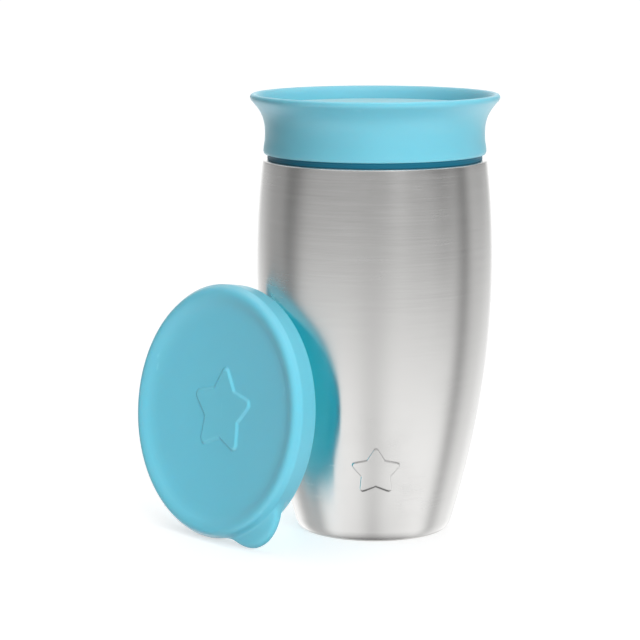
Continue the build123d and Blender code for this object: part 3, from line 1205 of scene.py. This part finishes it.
@dataclass
class Studio:
    """Pale floor, soft lights, light tent and camera."""

    floor_radius: float = 0.30
    near_floor_radius: float = 0.0262
    floor_glow: float = 0.60
    camera_place: tuple[float, float, float] = (-0.01861, -0.8, 0.2039)
    camera_pitch: float = 9.380
    lens: float = 132.71
    soft_share: float = 0.30
    level_light: float = 0.36
    low_light: float = 1.50
    dome_light: float = 1.10
    rear_light: float = 1.25
    underneath_light: float = 0.12
    backdrop_light: float = 1.05
    low_ends: Point = (0.02, -0.48)  # sines of the elevation where the lower light starts and is full
    dome_ends: Point = (0.28, 0.8)
    underneath_ends: Point = (-0.72, -0.92)
    rear_ends: Point = (148.0, 172.0)  # bearings
    floor_greys: Point = (0.63, 0.65)
    aim: tuple[float, float, float] = (0.0, 0.0, 0.07)
    cards: tuple[Card, ...] = (
        Card(-93, 11, -0.46),
        Card(-82, 9, -0.28, -0.15, 0.05),
        Card(-118, 24, -0.60, -0.06, -0.2),
        Card(97, 9, -0.46),
        Card(110, 14, 0.36, -0.15, 0.02),
        Card(108, 14, -0.30, -0.1, -0.35),
        Card(135, 14, -0.22, -0.2, -0.45),
        Card(-3, 17, -0.24, -0.1, -0.45),
        Card(24, 11, 0.34, -0.15, 0.0),
        Card(70, 12, -0.42, -0.2, 0.0),
        Card(-150, 20, 0.3),
        Card(150, 20, 0.2),
    )

    def floor(self) -> list[bpy.types.Object]:
        """Round white table top in two pieces; the steel sees only the one that the cup stands on."""
        material, graph = new_material("table_paint")
        place = graph.add("TexCoord").outputs["Object"]
        noise = graph.add("TexNoise", None, Vector=place, Scale=40.0, Detail=3.0)
        dark, pale = ((grey, grey, grey, 1) for grey in self.floor_greys)
        tint = graph.mixed(noise.outputs[0], dark, pale)
        bounced = graph.add("LightPath").outputs["Is Diffuse Ray"]
        shader = graph.add(
            "BsdfPrincipled",
            None,
            Base_Color=tint,
            Roughness=0.6,
            Specular_IOR_Level=0.2,
            Emission_Color=graph.mixed(bounced, (1, 1, 1, 1), (0, 0, 0, 1)),
            Emission_Strength=self.floor_glow,
        )
        graph.add("OutputMaterial", None, Surface=shader.outputs[0])
        made = []
        for name, inner, outer in (
            ("table_middle", 0.0, self.near_floor_radius),
            ("table_top", self.near_floor_radius, self.floor_radius),
        ):
            data = bpy.data.meshes.new(name)
            mesh = self.ring(inner, outer)
            mesh.to_mesh(data)
            mesh.free()
            data.materials.append(material)
            top = bpy.data.objects.new(name, data)
            top.visible_glossy = inner == 0
            bpy.context.scene.collection.objects.link(top)
            made.append(top)
        return made

    @staticmethod
    def ring(inner: float, outer: float) -> bmesh.types.BMesh:
        """Flat ring on the floor's plane, or a disc where the inner radius is 0, in metres."""
        mesh = bmesh.new()
        circles = [
            [mesh.verts.new((radius * math.cos(a), radius * math.sin(a), 0)) for a in even_turn(96)]
            for radius in (inner, outer)
            if radius > 0
        ]
        if inner == 0:
            mesh.faces.new(circles[0])
            return mesh
        near, far = circles
        for index in range(len(near)):
            after = (index + 1) % len(near)
            mesh.faces.new((near[index], far[index], far[after], near[after]))
        return mesh

    def tent(self) -> None:
        """Light tent: grey at eye level, brighter above and below, white behind, dark underneath."""
        world = bpy.data.worlds.new("light_tent")
        world.use_nodes = True
        bpy.context.scene.world = world
        graph = Graph(world.node_tree)
        way = graph.add("TexCoord").outputs["Generated"]
        parts = graph.add("SeparateXYZ", None, Vector=way)
        height = parts.outputs["Z"]
        behind = graph.math("MULTIPLY", parts.outputs["Y"], -1.0)
        turn = graph.math("MULTIPLY", graph.math("ARCTAN2", parts.outputs["X"], behind), 180 / math.pi)
        start, full = self.low_ends
        down = graph.add("MapRange", None, _0=height, _1=start, _2=full).outputs[0]
        light = graph.blend(down, self.level_light, self.low_light)
        light = graph.blend(graph.eased(height, *self.dome_ends), light, self.dome_light)
        for card in self.cards:
            light = card.applied(graph, light, turn, height)
        rear = graph.eased(graph.math("ABSOLUTE", turn), *self.rear_ends)
        light = graph.blend(rear, light, self.rear_light)
        underneath = graph.eased(height, *self.underneath_ends)
        light = graph.blend(underneath, light, self.underneath_light)
        path = graph.add("LightPath")
        seen = path.outputs["Is Camera Ray"]
        strength = graph.blend(path.outputs["Is Diffuse Ray"], 1.0, self.soft_share)
        tent = graph.add("Background", None, Color=light, Strength=strength)
        plain = graph.add("Background", None, Color=(1, 1, 1, 1), Strength=self.backdrop_light)
        both = graph.add("MixShader", None, _0=seen, _1=tent.outputs[0], _2=plain.outputs[0])
        graph.add("OutputWorld", None, Surface=both.outputs[0])

    def lamp(
        self,
        name: str,
        place: Vector,
        size: float,
        watts: float,
        mirrored: bool = False,
        lit: Sequence[bpy.types.Object] = (),
        shading: Sequence[bpy.types.Object] = (),
        tint: tuple[float, float, float] = (1.0, 1.0, 1.0),
    ) -> None:
        """Square soft light aimed at the cup.

        Args:
            name: Its name.
            place: Where it hangs, in metres.
            size: Length of its side.
            watts: Its power.
            mirrored: Whether glossy surfaces show it.
            lit: The only pieces that it lights; none lights everything.
            shading: The only pieces that cast shadows in it; none lets everything do so.
            tint: Its colour.
        """
        data = bpy.data.lights.new(name, "AREA")
        data.size = size
        data.energy = watts
        data.color = tint
        made = bpy.data.objects.new(name, data)
        made.location = place
        made.rotation_euler = (place - Vector(self.aim)).to_track_quat("Z", "Y").to_euler()
        made.visible_glossy = mirrored
        made.visible_camera = False
        bpy.context.scene.collection.objects.link(made)
        for role, pieces in (("receiver", lit), ("blocker", shading)):
            if pieces:
                chosen = bpy.data.collections.new(f"{name}_{role}s")
                for piece in pieces:
                    chosen.objects.link(piece)
                setattr(made.light_linking, role + "_collection", chosen)

    def lights(self, wardrobe: Wardrobe, table: list[bpy.types.Object]) -> None:
        """Front light for the collar, front light and bounce for the cover, and a top light for everything.

        Args:
            wardrobe: Knows which pieces wear which finish.
            table: The floor's pieces.
        """
        cover = wardrobe.worn[Slot.COVER_PLASTIC]
        on_the_cup = [
            *wardrobe.worn[Slot.COLLAR_PLASTIC],
            *wardrobe.worn[Slot.GASKET_SILICONE],
            *wardrobe.worn[Slot.VALVE_SILICONE],
        ]
        self.lamp("front", Vector((0.52, -1.15, 0.36)), 0.7, 13.5, False, [*on_the_cup, *table])
        self.lamp("cover_front", Vector((0.12, -1.24, 0.42)), 0.6, 16.0, False, cover)
        self.lamp("bounce", Vector((0.30, 0.27, 0.05)), 0.12, 1.5, False, cover, cover, (0.04, 1.0, 0.98))
        self.lamp("top", Vector((0.05, 0.1, 1.1)), 1.2, 4.5, True)

    def camera(self) -> None:
        """Long lens from a little above the rim."""
        data = bpy.data.cameras.new("camera")
        data.lens = self.lens
        data.clip_start, data.clip_end = 0.05, 50.0
        made = bpy.data.objects.new("camera", data)
        made.location = self.camera_place
        made.rotation_euler = (math.radians(90 - self.camera_pitch), 0, 0)
        bpy.context.scene.collection.objects.link(made)
        bpy.context.scene.camera = made

    def build(self, wardrobe: Wardrobe) -> None:
        """Set the studio up."""
        bpy.context.scene.view_settings.view_transform = "Standard"
        table = self.floor()
        self.tent()
        self.lights(wardrobe, table)
        self.camera()
        log.info("studio is ready")


def main() -> None:
    """Build the cup, its collar and valve, the loose cover and the studio."""
    logging.basicConfig(level=logging.INFO, format="%(name)s: %(message)s")
    wardrobe = Wardrobe()
    for part in (CupBody(), NeckGasket(), DrinkingCollar(), Valve(), SnapCover()):
        part.build(wardrobe)
    Studio().build(wardrobe)


if __name__ == "__main__":
    main()
